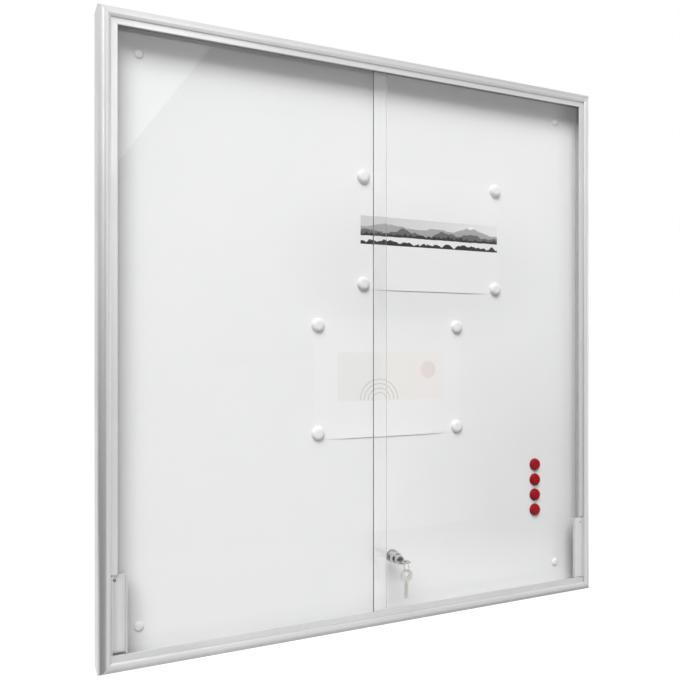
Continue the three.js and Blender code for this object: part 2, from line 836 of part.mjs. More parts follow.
function addRowMagnets() {
  const across = boardWidth / 2 - rowMagnetInset;
  const lowest = rowMagnetAboveBottom - boardHeight / 2;
  for (let i = 0; i < rowMagnetCount; i += 1) {
    const place = groupAt(across, 0, lowest + (rowMagnetCount - 1 - i) * rowMagnetPitch);
    addPiece(`magnet_red_${i + 1}`, magnet(sheetFrontDepth), redPlastic(), place);
  }
}

addFrame();
addCornerKeys();
addBack();
addFixings();
addTracks();
addBuffers();
addPanes();
addLock();
addKeys();
addNotices();
addRowMagnets();

export default board;
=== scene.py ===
import json
from math import cos, exp, hypot, pi, radians, sin

import bmesh
import bpy
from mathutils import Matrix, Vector, noise

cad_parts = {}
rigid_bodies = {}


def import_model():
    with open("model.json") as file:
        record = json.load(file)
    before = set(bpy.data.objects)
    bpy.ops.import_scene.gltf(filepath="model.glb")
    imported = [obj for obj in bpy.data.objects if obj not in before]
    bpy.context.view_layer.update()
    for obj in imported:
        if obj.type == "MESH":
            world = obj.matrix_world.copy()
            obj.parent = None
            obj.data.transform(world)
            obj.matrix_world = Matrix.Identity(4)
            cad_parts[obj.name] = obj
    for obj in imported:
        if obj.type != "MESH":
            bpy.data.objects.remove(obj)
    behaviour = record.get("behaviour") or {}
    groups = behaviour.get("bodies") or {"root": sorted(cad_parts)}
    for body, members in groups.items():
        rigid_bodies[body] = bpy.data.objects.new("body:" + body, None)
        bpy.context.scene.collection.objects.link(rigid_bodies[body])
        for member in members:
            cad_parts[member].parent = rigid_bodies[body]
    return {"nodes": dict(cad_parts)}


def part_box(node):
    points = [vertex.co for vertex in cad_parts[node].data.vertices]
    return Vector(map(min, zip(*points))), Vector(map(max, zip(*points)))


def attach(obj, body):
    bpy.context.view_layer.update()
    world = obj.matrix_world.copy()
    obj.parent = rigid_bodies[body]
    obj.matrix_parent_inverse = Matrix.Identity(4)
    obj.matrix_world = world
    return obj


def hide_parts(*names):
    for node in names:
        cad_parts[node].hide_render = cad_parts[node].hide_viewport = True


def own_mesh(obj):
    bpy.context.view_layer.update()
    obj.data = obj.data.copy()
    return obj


# Lockable notice board: looks and studio around the fixed frame
# Metres, wall at Y = 0, front towards -Y. New pieces are drawn in millimetres, and a depth
# is counted from the wall towards the viewer.

for leftover in list(bpy.data.objects):
    bpy.data.objects.remove(leftover)

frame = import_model()
nodes = frame["nodes"]
scene = bpy.context.scene
mm = 0.001


def setAll(owner, **values):
    for name, value in values.items():
        setattr(owner, name, value)
    return owner


def addObject(name, data, **values):
    added = bpy.data.objects.new(name, data)
    scene.collection.objects.link(added)
    return setAll(added, **values)


def modify(piece, name, kind, **values):
    setAll(piece.modifiers.new(name, kind), **values)


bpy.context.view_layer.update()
print("frame loaded:", len(nodes), "nodes")


# Camera
cameraLook = {
    "place": (-0.59727, -1.1700, -0.0126),
    "turn": 24.64,  # degrees to the right of straight ahead
    "lens": 38.46, "rise": 0.0121,
}


def addCamera(look):
    data = setAll(
        bpy.data.cameras.new("viewer"), lens=look["lens"], shift_y=look["rise"],
        sensor_width=36, clip_start=0.01, clip_end=100)
    turned = (radians(90), 0, -radians(look["turn"]))
    scene.camera = addObject("viewer", data, location=look["place"], rotation_euler=turned)


addCamera(cameraLook)
scene.view_settings.view_transform = "Standard"
print("camera placed")


# Node helpers, which add to the node tree in hand
inHand = {}


def openTree(owner):
    # Takes the emptied node tree of a material or world in hand
    owner.use_nodes = True
    owner.node_tree.nodes.clear()
    inHand["tree"] = owner.node_tree


def plug(socket, value):
    # A colour is its red, green and blue, or one number for a grey
    if isinstance(value, bpy.types.NodeSocket):
        inHand["tree"].links.new(value, socket)
    elif socket.type == "RGBA":
        socket.default_value = (*(value if isinstance(value, tuple) else [value] * 3), 1)
    else:
        socket.default_value = value


def addNode(kind, settings=None, values=(), **sockets):
    # Values go to the sockets in their order, and the others by name
    node = setAll(inHand["tree"].nodes.new(kind), **(settings or {}))
    for socket, value in zip(node.inputs, values):
        plug(socket, value)
    for name, value in sockets.items():
        plug(node.inputs[name.replace("_", " ")], value)
    return node


def calc(operation, *values):
    return addNode("ShaderNodeMath", {"operation": operation}, values).outputs[0]


def times(first, second):
    return calc("MULTIPLY", first, second)


def vectorCalc(operation, *values):
    node = addNode("ShaderNodeVectorMath", {"operation": operation}, values)
    return node.outputs["Value" if operation in ("DOT_PRODUCT", "LENGTH") else "Vector"]


def remap(value, low, high, newLow=0, newHigh=1):
    values = (value, low, high, newLow, newHigh)
    return addNode("ShaderNodeMapRange", {"clamp": True}, values).outputs[0]


def mixColour(mask, under, over):
    node = addNode("ShaderNodeMix", {"data_type": "RGBA"})
    for index, value in ((0, mask), (6, under), (7, over)):
        plug(node.inputs[index], value)
    return node.outputs[2]


def layered(colour, *layers):
    # Lays colours over each other, each through its own mask
    for mask, over in layers:
        colour = mixColour(mask, colour, over)
    return colour


def noiseTone(place, scale, detail, distortion=0):
    sockets = {"Vector": place, "Scale": scale, "Detail": detail, "Distortion": distortion}
    return addNode("ShaderNodeTexNoise", **sockets).outputs[0]


def objectPlace():
    return addNode("ShaderNodeTexCoord").outputs["Object"]


def axesOf(vector):
    return addNode("ShaderNodeSeparateXYZ", Vector=vector).outputs


def facing(axis):
    # How far a surface faces along an axis of its piece
    return axesOf(addNode("ShaderNodeTexCoord").outputs["Normal"])[axis]


def startGroup(name, results, **inputs):
    # Opens a node group: inputs with their usual values, and the names of its results
    tree = inHand["tree"] = bpy.data.node_groups.new(name, "ShaderNodeTree")
    for label, value in inputs.items():
        kind = "NodeSocketVector" if isinstance(value, tuple) else "NodeSocketFloat"
        socket = tree.interface.new_socket(label, in_out="INPUT", socket_type=kind)
        socket.default_value = value
    for label in results:
        tree.interface.new_socket(label, in_out="OUTPUT", socket_type="NodeSocketFloat")
    entry = tree.nodes.new("NodeGroupInput")
    leave = tree.nodes.new("NodeGroupOutput")
    return entry.outputs, leave.inputs


def useGroup(name, **sockets):
    settings = {"node_tree": bpy.data.node_groups[name]}
    return addNode("ShaderNodeGroup", settings, **sockets).outputs


# Effects that several finishes share
def makeGrain():
    # Fine lines left by drawing or brushing: Stretch is lines per metre along X, Y and Z
    broadScale, fineShare, broadShare = 0.14, 0.55, 0.45
    given, result = startGroup("drawnGrain", ["Tone", "Height"], Stretch=(4, 900, 900), Detail=3)
    place = vectorCalc("MULTIPLY", objectPlace(), given["Stretch"])
    fine = noiseTone(place, 1, given["Detail"])
    broadPlace = vectorCalc("SCALE", place)
    broadPlace.node.inputs["Scale"].default_value = broadScale
    broad = times(noiseTone(broadPlace, 1, 2), broadShare)
    tone = calc("MULTIPLY_ADD", fine, fineShare, broad)
    plug(result["Tone"], remap(tone, 0.3, 0.7))
    plug(result["Height"], fine)


def makeClouds():
    # Soft patches from cleaning and handling: Size is patches per metre
    given, result = startGroup("handledClouds", ["Mask"], Size=14, Low=0.4, High=0.65)
    patches = noiseTone(objectPlace(), given["Size"], 4, distortion=0.6)
    plug(result["Mask"], remap(patches, given["Low"], given["High"]))


def makeSpeckle():
    # Small even pores or fibres: Size is grains per metre
    given, result = startGroup("fineSpeckle", ["Tone", "Height"], Size=1500, Contrast=0.2)
    grain = noiseTone(objectPlace(), given["Size"], 2)
    low = calc("SUBTRACT", 0.5, given["Contrast"])
    high = calc("ADD", 0.5, given["Contrast"])
    plug(result["Tone"], remap(grain, low, high))
    plug(result["Height"], grain)


def makeEdgeWear():
    # Rubbed edges: Radius is how far from an edge the rubbing reaches, Patches is per metre
    given, result = startGroup("rubbedEdges", ["Mask"], Radius=0.0006, Patches=60)
    rounded = addNode("ShaderNodeBevel", {"samples": 4}, Radius=given["Radius"])
    plain = addNode("ShaderNodeNewGeometry").outputs["Normal"]
    alike = vectorCalc("DOT_PRODUCT", rounded.outputs[0], plain)
    edges = remap(calc("SUBTRACT", 1, alike), 0.02, 0.2)
    patches = noiseTone(objectPlace(), given["Patches"], 3)
    rubbed = remap(patches, 0.35, 0.65, 0.2, 1)
    plug(result["Mask"], times(edges, rubbed))


def makeDust():
    # Dust that settles on faces turned upwards
    driftSize = 55  # drifts per metre
    given, result = startGroup("settledDust", ["Mask"], Amount=0.5)
    lying = remap(facing("Z"), 0.3, 0.95)
    drift = noiseTone(objectPlace(), driftSize, 5)
    thick = remap(drift, 0.35, 0.7, 0.25, 1)
    plug(result["Mask"], times(times(lying, thick), given["Amount"]))


makeGrain()
makeClouds()
makeSpeckle()
makeEdgeWear()
makeDust()
dustColour = (0.62, 0.6, 0.57)
print("shared effects made")


# Finishes
# In a look, clouds are patches per metre and the range of noise that they cover, and rough is
# the roughness where the tone or the clouds are at 0 and at 1.
def startFinish(name, **plain):
    material = bpy.data.materials.new(name)
    openTree(material)
    shader = addNode("ShaderNodeBsdfPrincipled", **plain)
    addNode("ShaderNodeOutputMaterial", Surface=shader.outputs[0])
    return material, shader


def cloudMask(look):
    size, low, high = look["clouds"]
    return useGroup("handledClouds", Size=size, Low=low, High=high)["Mask"]


def dustMask(look):
    return useGroup("settledDust", Amount=look["dust"])["Mask"]


def tonesOf(look, tone, clouds):
    # Two tones, and stains over them
    return layered(
        look["dark"], (tone, look["light"]), (times(clouds, look["stainShare"]), look["stain"]))


def wornTones(look, tone, clouds, dust):
    wear = useGroup("rubbedEdges", Radius=look["wearReach"])["Mask"]
    return layered(
        tonesOf(look, tone, clouds), (times(wear, look["rubbedShare"]), look["rubbed"]),
        (dust, dustColour))


def dress(shader, look, colour, rough, height):
    # Gives a finish its colour, roughness and relief
    bumps = addNode(
        "ShaderNodeBump", Height=height, Strength=look["relief"], Distance=look["deep"])
    plug(shader.inputs["Base Color"], colour)
    plug(shader.inputs["Roughness"], rough)
    plug(shader.inputs["Normal"], bumps.outputs[0])


def drawnMetal(name, look):
    material, shader = startFinish(name, Metallic=look["metal"])
    grain = useGroup("drawnGrain", Stretch=look["stretch"])
    clouds, dust = cloudMask(look), dustMask(look)
    colour = wornTones(look, grain["Tone"], clouds, dust)
    rough = remap(grain["Tone"], 0, 1, *look["rough"])
    rough = calc("MULTIPLY_ADD", clouds, look["stainDulls"], rough)
    rough = calc("MULTIPLY_ADD", dust, look["dustDulls"], rough)
    dress(shader, look, colour, rough, grain["Height"])
    return material


anodisedLook = {
    "light": (0.77, 0.772, 0.776), "dark": (0.71, 0.712, 0.716), "stain": 0.68, "stainShare": 0.35,
    "stainDulls": 0.05, "rubbed": 0.83, "rubbedShare": 0.5, "metal": 0.7, "rough": (0.42, 0.32),
    "clouds": (9, 0.4, 0.65), "wearReach": 0.0007, "dust": 0.12, "dustDulls": 0.3, "relief": 0.08,
    "deep": 0.0002,
}
anodisedLevel = drawnMetal("anodisedAlongX", {**anodisedLook, "stretch": (5, 1100, 1100)})
anodisedUpright = drawnMetal("anodisedAlongZ", {**anodisedLook, "stretch": (1100, 1100, 5)})

pullLook = {
    **anodisedLook, "light": 0.79, "dark": 0.74, "rubbed": 0.84, "metal": 0.4,
    "stretch": (1100, 1100, 5), "dust": 0.06,
}
pullMetal = drawnMetal("pullMetal", pullLook)

# A darker copy of the anodised finish for the top track: painted shade, which deepens the dark
# line under the top lip. The real track is the same light anodised aluminium as the frame.
trackPaintedShadeLook = {
    **anodisedLook, "light": (0.68, 0.68, 0.685), "dark": (0.60, 0.60, 0.605), "stain": 0.54,
    "rubbed": 0.74, "metal": 0.6, "stretch": (4, 700, 700), "dust": 0.25,
}
trackMetalPaintedShade = drawnMetal("trackMetalPaintedShade", trackPaintedShadeLook)

# A lighter, less metallic copy for the bottom track: painted light, which brightens the bottom of
# the case inside.
sillPaintedLightLook = {
    **trackPaintedShadeLook, "light": 0.85, "dark": 0.79, "stain": 0.74, "metal": 0.3, "dust": 0.1,
}
sillMetalPaintedLight = drawnMetal("sillMetalPaintedLight", sillPaintedLightLook)

castLook = {
    **anodisedLook, "light": (0.62, 0.625, 0.63), "dark": (0.5, 0.505, 0.51),
    "stretch": (420, 420, 420), "rough": (0.68, 0.5), "relief": 0.5,
}
castAluminium = drawnMetal("castAluminium", castLook)

nickelLook = {
    **anodisedLook, "metal": 1.0, "light": (0.74, 0.72, 0.68), "dark": (0.64, 0.62, 0.59),
    "stain": (0.52, 0.50, 0.47), "rubbed": (0.86, 0.84, 0.79), "stretch": (900, 900, 2600),
    "rough": (0.28, 0.16), "clouds": (160, 0.4, 0.65), "wearReach": 0.0004, "dust": 0.05,
}
nickelSteel = drawnMetal("nickelSteel", nickelLook)

plugLook = {
    **nickelLook, "light": (0.34, 0.335, 0.33), "dark": (0.25, 0.245, 0.24),
    "stain": (0.18, 0.175, 0.17), "rubbed": (0.62, 0.60, 0.57),
}
darkNickel = drawnMetal("darkNickel", plugLook)

springLook = {
    **nickelLook, "light": (0.58, 0.58, 0.59), "dark": (0.42, 0.42, 0.43),
    "stretch": (3000, 3000, 3000), "rough": (0.4, 0.25),
}
springSteel = drawnMetal("springSteel", springLook)

chromeLook = {
    **nickelLook, "light": (0.72, 0.725, 0.73), "dark": (0.60, 0.605, 0.61),
    "stain": (0.52, 0.52, 0.53), "rubbed": (0.90, 0.87, 0.80), "stretch": (700, 4200, 700),
    "rough": (0.16, 0.07),
}
chromedBrass = drawnMetal("chromedBrass", chromeLook)


def enamelFinish(name, look):
    # Enamelled steel: a faint orange peel under the gloss, wiped patches and light scuffs
    material, shader = startFinish(
        name, Metallic=0.0, Coat_Weight=look["coat"], Coat_Roughness=look["coatRough"])
    clouds = cloudMask(look)
    scuffs = useGroup("drawnGrain", Stretch=look["scuffStretch"])["Tone"]
    peel = useGroup("fineSpeckle", Size=look["peelSize"])["Height"]
    scuffed = remap(scuffs, 0.72, 0.95, 0, look["scuffShare"])
    colour = layered(look["light"], (clouds, look["shade"]), (scuffed, look["scuff"]))
    rough = remap(clouds, 0, 1, *look["rough"])
    rough = calc("ADD", rough, times(scuffed, look["scuffDulls"]))
    dress(shader, look, colour, rough, peel)
    return material


enamelLook = {
    "light": 0.865, "shade": (0.85, 0.85, 0.852), "scuff": 0.79, "scuffStretch": (3, 3, 60),
    "scuffShare": 0.25, "scuffDulls": 0.4, "coat": 0.25, "coatRough": 0.08, "rough": (0.28, 0.38),
    "clouds": (4, 0.35, 0.7), "peelSize": 520, "relief": 0.04, "deep": 0.0003,
}
enamelWhite = enamelFinish("enamelWhite", enamelLook)


def hardboardFinish(name, look):
    # Hardboard with the marks of the wire screen that it was pressed on
    material, shader = startFinish(name, Metallic=0.0)
    place = axesOf(objectPlace())
    screen = calc("MAXIMUM", *[
        calc("SINE", times(place[axis], look["screen"])) for axis in ("X", "Z")])
    fibres = useGroup("drawnGrain", Stretch=look["fibreStretch"], Detail=5)
    colour = tonesOf(look, fibres["Tone"], cloudMask(look))
    colour = mixColour(dustMask(look), colour, look["dustTone"])
    rough = remap(fibres["Tone"], 0, 1, *look["rough"])
    height = calc("MULTIPLY_ADD", screen, look["screenShare"], fibres["Height"])
    dress(shader, look, colour, rough, height)
    return material


hardboardLook = {
    "light": (0.40, 0.31, 0.22), "dark": (0.27, 0.20, 0.14), "stain": (0.36, 0.30, 0.24),
    "stainShare": 0.4, "dustTone": (0.6, 0.58, 0.55), "dust": 0.5, "clouds": (7, 0.3, 0.7),
    "fibreStretch": (260, 260, 90),
    "screen": 2 * pi / 0.0026,  # one wire each 2.6 mm
    "screenShare": 0.35, "rough": (0.9, 0.74), "relief": 0.5, "deep": 0.0006,
}
boardCore = hardboardFinish("boardCore", hardboardLook)


def mouldedFinish(name, look):
    # Moulded plastic or rubber: fine spark texture, handled patches and rubbed edges
    material, shader = startFinish(
        name, Metallic=0.0, Coat_Weight=look["coat"], Coat_Roughness=look["coatRough"],
        IOR=look["lightBend"])
    speckle = useGroup("fineSpeckle", Size=look["textureSize"])
    clouds = cloudMask(look)
    colour = wornTones(look, speckle["Tone"], clouds, dustMask(look))
    rough = remap(clouds, 0, 1, *look["rough"])
    rough = calc("MULTIPLY_ADD", speckle["Tone"], look["textureDulls"], rough)
    dress(shader, look, colour, rough, speckle["Height"])
    return material


whiteLook = {
    "light": (0.86, 0.86, 0.85), "dark": (0.82, 0.82, 0.81), "stain": (0.80, 0.79, 0.77),
    "stainShare": 0.4, "rubbed": (0.88, 0.88, 0.87), "rubbedShare": 0.5, "coat": 0.2,
    "coatRough": 0.12, "lightBend": 1.49, "textureSize": 1800, "textureDulls": 0.05,
    "clouds": (90, 0.4, 0.65), "wearReach": 0.0006, "dust": 0.1, "rough": (0.26, 0.36),
    "relief": 0.1, "deep": 0.0002,
}
whitePlastic = mouldedFinish("whitePlastic", whiteLook)

redLook = {
    **whiteLook, "light": (0.38, 0.0, 0.008), "dark": (0.31, 0.0, 0.006),
    "stain": (0.27, 0.0, 0.007), "rubbed": (0.46, 0.008, 0.016), "coat": 0.0, "lightBend": 1.33,
    "dust": 0.02,
}
redPlastic = mouldedFinish("redPlastic", redLook)

greyLook = {
    **whiteLook, "light": (0.29, 0.30, 0.30), "dark": (0.23, 0.24, 0.24), "stain": 0.25,
    "rubbed": 0.42, "coat": 0.0, "rough": (0.5, 0.62), "relief": 0.25, "dust": 0.35,
}
greyPlastic = mouldedFinish("greyPlastic", greyLook)

rubberLook = {
    **greyLook, "light": (0.030, 0.030, 0.032), "dark": (0.018, 0.018, 0.019),
    "stain": (0.045, 0.044, 0.043), "rubbed": 0.09, "rough": (0.7, 0.85), "relief": 0.4,
}
blackRubber = mouldedFinish("blackRubber", rubberLook)

foamLook = {**rubberLook, "light": (0.05, 0.05, 0.052), "textureSize": 900, "relief": 0.9}
foamTape = mouldedFinish("foamTape", foamLook)


def glassFinish(name, look):
    # Lamps and soft light pass straight through, so that the back behind the pane is lit
    material, shader = startFinish(
        name, Metallic=0.0, Roughness=0.0, IOR=look["lightBend"], Transmission_Weight=1.0)
    surface = shader.outputs[0].links[0].to_socket
    faces = mixColour(cloudMask(look), look["clear"], look["filmed"])
    ground = remap(calc("ABSOLUTE", facing("Y")), 0.2, 0.9, 1, 0)
    colour = mixColour(ground, faces, look["edge"])
    waves = noiseTone(objectPlace(), look["waves"], 0)
    dress(shader, look, colour, times(ground, look["ground"]), waves)
    through = addNode("ShaderNodeBsdfTransparent", Color=look["through"])
    path = addNode("ShaderNodeLightPath").outputs
    lit = calc("MAXIMUM", path["Is Shadow Ray"], path["Is Diffuse Ray"])
    both = addNode("ShaderNodeMixShader", {}, (lit, shader.outputs[0], through.outputs[0]))
    plug(surface, both.outputs[0])
    return material


glassLook = {
    "clear": (0.997, 0.999, 0.998), "filmed": (0.992, 0.995, 0.994), "edge": (0.93, 0.96, 0.95),
    "through": (0.993, 0.995, 0.994), "lightBend": 1.5,
    "ground": 0.45,  # roughness of the ground edges
    "clouds": (6, 0.3, 0.8), "waves": 5, "relief": 0.02, "deep": 0.0004,
}
clearGlass = glassFinish("clearGlass", glassLook)
print("finishes made:", len(bpy.data.materials))


# Studio
def addSurface(name, low, high, material):
    # A rectangle between two opposite corners, which share one axis
    first, second = [axis for axis in range(3) if low[axis] != high[axis]]
    corners = [list(low), list(low), list(high), list(low)]
    corners[1][first] = high[first]
    corners[3][second] = high[second]
    mesh = bpy.data.meshes.new(name)
    mesh.from_pydata(corners, [], [(0, 1, 2, 3)])
    mesh.materials.append(material)
    surface = addObject(name, mesh)
    return surface


def seenDirectly():
    # 1 for what the viewer sees straight, in a reflection or through glass
    path = addNode("ShaderNodeLightPath").outputs
    mirrored = calc("MAXIMUM", path["Is Camera Ray"], path["Is Glossy Ray"])
    return calc("MAXIMUM", mirrored, path["Is Transmission Ray"])


def lightRoom(look):
    scene.world = bpy.data.worlds.new("whiteRoom")
    openTree(scene.world)
    strength = remap(seenDirectly(), 0, 1, look["ambient"], 1)
    room = addNode("ShaderNodeBackground", Color=1, Strength=strength)
    addNode("ShaderNodeOutputWorld", Surface=room.outputs[0])


def layFloor(look):
    material, shader = startFinish(
        "paleFloor", Roughness=look["rough"], Metallic=0.0, Emission_Color=1)
    colour = mixColour(cloudMask(look), look["light"], look["shade"])
    plug(shader.inputs["Base Color"], colour)
    plug(shader.inputs["Emission Strength"], times(seenDirectly(), look["glow"]))
    half, level = look["half"], look["level"]
    addSurface("studioFloor", (-half, -half, level), (half, half, level), material)


def patch(middle, reach, core, tone):
    # A soft oval on a card, in full tone inside core times its reach
    return {"middle": middle, "reach": reach, "core": core, "tone": tone}


def fade(along, start, end, tone):
    # A change towards a tone from start to end along an axis
    return {"along": along, "start": start, "end": end, "tone": tone}


def gradedCard(name, look):
    # A card that only reflections see, with soft patches and fades in its tone
    material = bpy.data.materials.new(name)
    openTree(material)
    place = objectPlace()
    colour = look["tone"]
    for layer in look["layers"]:
        if "middle" in layer:
            away = vectorCalc("SUBTRACT", place, layer["middle"])
            away = vectorCalc("LENGTH", vectorCalc("DIVIDE", away, layer["reach"]))
            cover = remap(away, layer["core"], 1, 1, 0)
        else:
            reached = vectorCalc("DOT_PRODUCT", place, layer["along"])
            cover = remap(reached, layer["start"], layer["end"])
        colour = mixColour(cover, colour, layer["tone"])
    glow = addNode("ShaderNodeEmission", Color=colour, Strength=1)
    addNode("ShaderNodeOutputMaterial", Surface=glow.outputs[0])
    card = addSurface(name, look["low"], look["high"], material)
    setAll(card, visible_camera=False, visible_diffuse=False, visible_shadow=False)


def addSoftbox(name, look):
    # A lamp either lights the object, or is only mirrored in it
    data = setAll(bpy.data.lights.new(name, "AREA"), shape="RECTANGLE", energy=look["power"])
    data.size, data.size_y = look["size"]
    mirrored = look.get("onlyMirrored", False)
    lamp = addObject(
        name, data, location=look["place"], visible_camera=False, visible_transmission=False,
        visible_diffuse=not mirrored, visible_glossy=mirrored)
    towards = Vector(look["aim"]) - Vector(look["place"])
    lamp.rotation_euler = towards.to_track_quat("-Z", "Y").to_euler()
    lamp.rotation_euler.rotate_axis("Z", radians(look.get("roll", 0)))


roomLook = {"ambient": 0.15}
floorLook = {
    "light": 0.30, "shade": 0.27, "rough": 0.9, "clouds": (3, 0.4, 0.65), "glow": 0.93, "half": 12,
    "level": -1.5,
}
alongX, alongY, alongZ = (1, 0, 0), (0, 1, 0), (0, 0, 1)
cards = {
    # Behind the viewer: its dark patches are mirrored over the red magnets and the upper notice
    "frontCard": {
        "low": (-3.3, -4, -1.47), "high": (4.7, -4, 5.0), "tone": 0.95,
        "layers": [
            patch((3.0, -4, 0.4), (2.2, 1.0, 2.0), 0.1, 0.55),
            patch((3.65, -4, -1.25), (1.5, 1.0, 1.5), 0.3, 0.01),
            patch((2.5, -4, 0.66), (1.3, 1.0, 0.75), 0.4, 0.01),
            fade(alongX, -0.35, -1.15, 0.10),
            patch((-1.2, -4, -1.4), (1.3, 1.0, 1.4), 0.5, 0.08),
            fade(alongZ, 0.4, 2.4, 1),
            patch((5.0, -4, 4.2), (2.6, 1.0, 2.4), 0.2, 0.06),
            patch((0.1, -4, 1.8), (0.8, 1.0, 0.9), 0.3, (0.70, 0.70, 0.71)),
        ],
    },
    "leftCard": {
        "low": (-3.3, -4, -1.47), "high": (-3.3, 3.5, 5.0), "tone": 0.02,
        "layers": [
            fade(alongZ, -1.0, 1.9, 1),
            patch((-3.3, -4.4, 0), (1.0, 1.6, 2.4), 0.3, 0.08),
            patch((-3.3, -2.0, 1.9), (1.0, 1.2, 1.2), 0.1, 4),
        ],
    },
    "rightCard": {
        "low": (4.7, -4, -1.47), "high": (4.7, 3, 5.0), "tone": 1.25,
        "layers": [patch((4.7, -4, 4.2), (1.0, 4.0, 2.6), 0.4, 0.06)],
    },
    "ceilingCard": {
        "low": (-3.3, -4, 5.0), "high": (9.0, 4, 5.0), "tone": 1,
        "layers": [fade(alongX, 0.3, 4.8, 0.12)],
    },
    "lowCard": {
        "low": (-3.3, -4, -1.46), "high": (4.7, 1, -1.46), "tone": (0.72, 0.70, 0.69),
        "layers": [
            fade(alongX, -0.2, 2.4, (0.20, 0.18, 0.18)),
            fade(alongY, -0.6, -1.9, 1),
            patch((3.5, -4, -1.46), (1.8, 1.9, 1.0), 0.3, 0.01),
            patch((-1.2, -4, -1.46), (1.3, 1.4, 1.0), 0.5, 0.08),
            fade(alongX, -0.35, -1.15, 0.03),
        ],
    },
}
lamps = {
    "keyLight": {"place": (-4.6, -9.0, 9.9), "aim": (0, 0, 0), "size": (9.6, 7.3), "power": 2110},
    "keyGloss": {
        "place": (-4.6, -9.8, 8.85), "aim": (0, 0, 0), "size": (9.6, 5.5), "power": 90,
        "onlyMirrored": True,
    },
    # Mirrored in the upper left corner of the left pane
    "sideLight": {
        "place": (-0.08, -2.4, 1.304), "aim": (-0.08, 0, 1.304), "size": (1.6, 0.45), "power": 3.4,
        "roll": 54.2, "onlyMirrored": True,
    },
    "overLight": {
        "place": (-0.2, -1.6, 3.6), "aim": (-0.1, 0, 0.3), "size": (3.2, 1.8), "power": 36,
    },
    "fillLight": {"place": (-2.4, -2.4, 1.7), "aim": (-0.2, 0, 0), "size": (1.4, 1.0), "power": 2},
    "lowLight": {
        "place": (1.7, -2.6, -1.1), "aim": (0.2, 0, -0.3), "size": (1.8, 1.2), "power": 6.5,
    },
    "backLight": {"place": (0.6, 2.6, 1.4), "aim": (0, 0, 0), "size": (2.4, 1.6), "power": 42},
}

lightRoom(roomLook)
layFloor(floorLook)
for name, look in cards.items():
    gradedCard(name, look)
for name, look in lamps.items():
    addSoftbox(name, look)
print("studio lit")


# Nodes that keep their own shape
keptShape = {
    "weld": 0.00001,
    "flat": 0.4,  # degrees between faces that become one
    "sharp": 32,  # degrees from which an edge counts as one
    "segments": 2,
}


def makeSmoother(look):
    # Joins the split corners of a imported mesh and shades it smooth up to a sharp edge
    tree = inHand["tree"] = bpy.data.node_groups.new("weldedSmooth", "GeometryNodeTree")
    for way in ("INPUT", "OUTPUT"):
        tree.interface.new_socket("Geometry", in_out=way, socket_type="NodeSocketGeometry")
    form = tree.nodes.new("NodeGroupInput").outputs[0]
    angle = addNode("GeometryNodeInputMeshEdgeAngle").outputs[0]
    sharp = calc("GREATER_THAN", angle, radians(look["sharp"]))
    for step, settings, sockets in (
        ("MergeByDistance", {}, {"Distance": look["weld"]}),
        ("RemoveAttribute", {}, {"Name": "custom_normal"}),
        ("SetShadeSmooth", {"domain": "FACE"}, {"Shade_Smooth": True}),
        ("SetShadeSmooth", {"domain": "EDGE"}, {"Selection": sharp, "Shade_Smooth": False}),
    ):
        form = addNode("GeometryNode" + step, settings, Geometry=form, **sockets).outputs[0]
    addNode("NodeGroupOutput", Geometry=form)
    return tree


weldedSmooth = makeSmoother(keptShape)


def keepNode(name, material, edge):
    # Edge is the width of the rounding in millimetres, and 0 leaves the edges sharp
    piece = nodes[name]
    modify(piece, "weld", "NODES", node_group=weldedSmooth)
    flat, sharp = radians(keptShape["flat"]), radians(keptShape["sharp"])
    modify(piece, "flatten", "DECIMATE", decimate_type="DISSOLVE", angle_limit=flat)
    if edge:
        modify(
            piece, "rounding", "BEVEL", width=edge * mm, segments=keptShape["segments"],
            limit_method="ANGLE", angle_limit=sharp, harden_normals=True)
    for slot in piece.material_slots:
        setAll(slot, link="OBJECT", material=material)


corners = [f"{level}_{hand}" for level in ("top", "bottom") for hand in ("left", "right")]
cornerKeys = [f"corner_key_{corner}" for corner in corners]
bushes = [f"fixing_bush_{corner}" for corner in corners]
keptNodes = [
    (anodisedLevel, 0.35, ["frame_top", "frame_bottom"]),
    (anodisedUpright, 0.35, ["frame_left", "frame_right"]),
    # The top and bottom tracks are one anodised aluminium: the top one carries painted shade and
    # the bottom one painted light.
    (trackMetalPaintedShade, 0.2, ["top_track"]),
    (sillMetalPaintedLight, 0.2, ["bottom_track"]),
    (pullMetal, 0.25, ["pull_left", "pull_right"]),
    (castAluminium, 0.5, cornerKeys),
    (greyPlastic, 0.2, [*bushes, "runner_front", "runner_rear"]),
    (blackRubber, 0.4, ["side_buffer_left", "side_buffer_right"]),
    (foamTape, 0.1, ["pull_tape_left", "pull_tape_right"]),
    (boardCore, 0.4, ["back_board"]),
    (enamelWhite, 0.15, ["back_sheet"]),
    (clearGlass, 0, ["pane_left", "pane_right"]),
]
for material, edge, names in keptNodes:
    for name in names:
        keepNode(name, material, edge)
print("carried-over nodes finished")


# New pieces
def addPiece(name, mesh, material, body, node, degrees=0):
    # Degrees is the angle from which an edge stays sharp, and 0 leaves the shading as it is
    piece = addObject(name, mesh)
    mesh.materials.clear()
    mesh.materials.append(material)
    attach(piece, body)
    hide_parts(node)
    if degrees:
        softenShading(piece, degrees)
    return piece


def softenShading(piece, degrees):
    mesh = piece.data
    mesh.polygons.foreach_set("use_smooth", [True] * len(mesh.polygons))
    mesh.set_sharp_from_angle(angle=radians(degrees))
    modify(piece, "evenShading", "WEIGHTED_NORMAL", keep_sharp=True, weight=80)


def arcPoint(start, control, end, t):
    return start.lerp(control, t).lerp(control.lerp(end, t), t)


